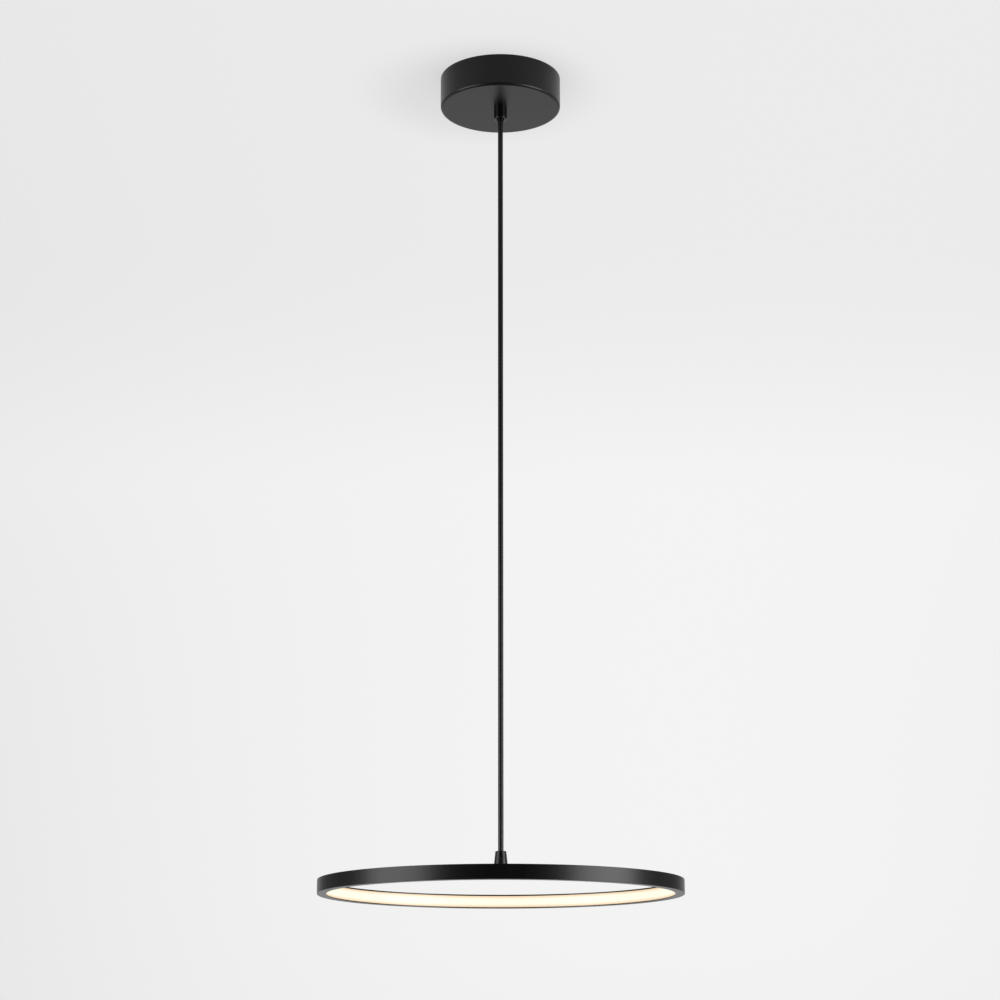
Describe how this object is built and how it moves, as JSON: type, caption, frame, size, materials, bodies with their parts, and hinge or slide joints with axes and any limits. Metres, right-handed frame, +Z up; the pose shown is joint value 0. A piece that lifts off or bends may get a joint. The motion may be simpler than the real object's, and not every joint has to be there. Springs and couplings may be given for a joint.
{
  "type": "led ring pendant light",
  "caption": "Slim black LED ring hung level on a single straight cord from a round ceiling canopy that holds the driver; the inside of the ring gives a warm light.",
  "frame": {"origin": "centre of the ceiling bracket's top face, in the plane of the ceiling", "axes": "+Z up into the ceiling, X along the bridge bar, -Y on the side of the cone's grub screw"},
  "size_m": [0.4, 0.4, 0.9614],
  "materials": {
    "black_coat": "fine matt powder coat",
    "black_plastic": "matt moulded",
    "cord_sheath": "satin",
    "zinc_steel": "zinc plated",
    "brass": "turned",
    "black_steel": "black oxide",
    "white_plastic": "moulded",
    "terminal_plastic": "moulded",
    "lead_sheath": "smooth",
    "earth_sheath": "smooth",
    "thin_lead_sheath": "smooth",
    "aluminium": "milled",
    "diffuser": "frosted, lit",
    "circuit_strip": "white mask",
    "led_yellow": "phosphor, lit"
  },
  "bodies": {
    "ceiling_fixture": {"ceiling_bracket": "zinc_steel", "earth_screw": "brass", "earth_washers": "zinc_steel", "canopy_side_screws": "black_steel", "canopy_cup": "black_coat", "terminal_block": "terminal_plastic", "terminal_screws": "zinc_steel", "terminal_fixing_screw": "zinc_steel", "led_driver": "white_plastic", "driver_screws": "zinc_steel", "mains_leads": "lead_sheath", "earth_lead": "earth_sheath", "output_leads": "thin_lead_sheath", "cord_grip": "black_plastic", "grip_washer": "zinc_steel", "grip_nut": "zinc_steel", "clamp_screw": "zinc_steel", "cord_tail": "cord_sheath", "cord_stop": "brass"},
    "sleeve": {"bend_sleeve": "black_plastic"},
    "cord": {"suspension_cord": "cord_sheath", "cord_ferrule": "brass"},
    "ring": {"coupling_cone": "black_coat", "grub_screw": "black_steel", "coupling_nipple": "zinc_steel", "coupling_nut": "black_steel", "bridge_bar": "black_coat", "bridge_cover_right": "black_coat", "bridge_cover_left": "black_coat", "bridge_screws": "black_steel", "bridge_leads": "thin_lead_sheath", "ring_profile_back": "black_coat", "ring_profile_front": "black_coat", "ring_joiner_right": "aluminium", "ring_joiner_left": "aluminium", "joiner_screws": "black_steel", "diffuser_back": "diffuser", "diffuser_front": "diffuser", "led_strip_back": "circuit_strip", "led_strip_front": "circuit_strip", "led_chips_back": "led_yellow", "led_chips_front": "led_yellow"}
  },
  "joints": [
    {"name": "swing_front", "type": "hinge", "parent": "ceiling_fixture", "child": "sleeve", "pos_m": [0, 0, -0.052], "axis": [1, 0, 0], "range_deg": [-12, 12]},
    {"name": "swing_side", "type": "hinge", "parent": "sleeve", "child": "cord", "pos_m": [0, 0, -0.052], "axis": [0, 1, 0], "range_deg": [-12, 12]},
    {"name": "ring_turn", "type": "hinge", "parent": "cord", "child": "ring", "pos_m": [0, 0, -0.914], "axis": [0, 0, 1], "range_deg": [-180, 180]}
  ]
}
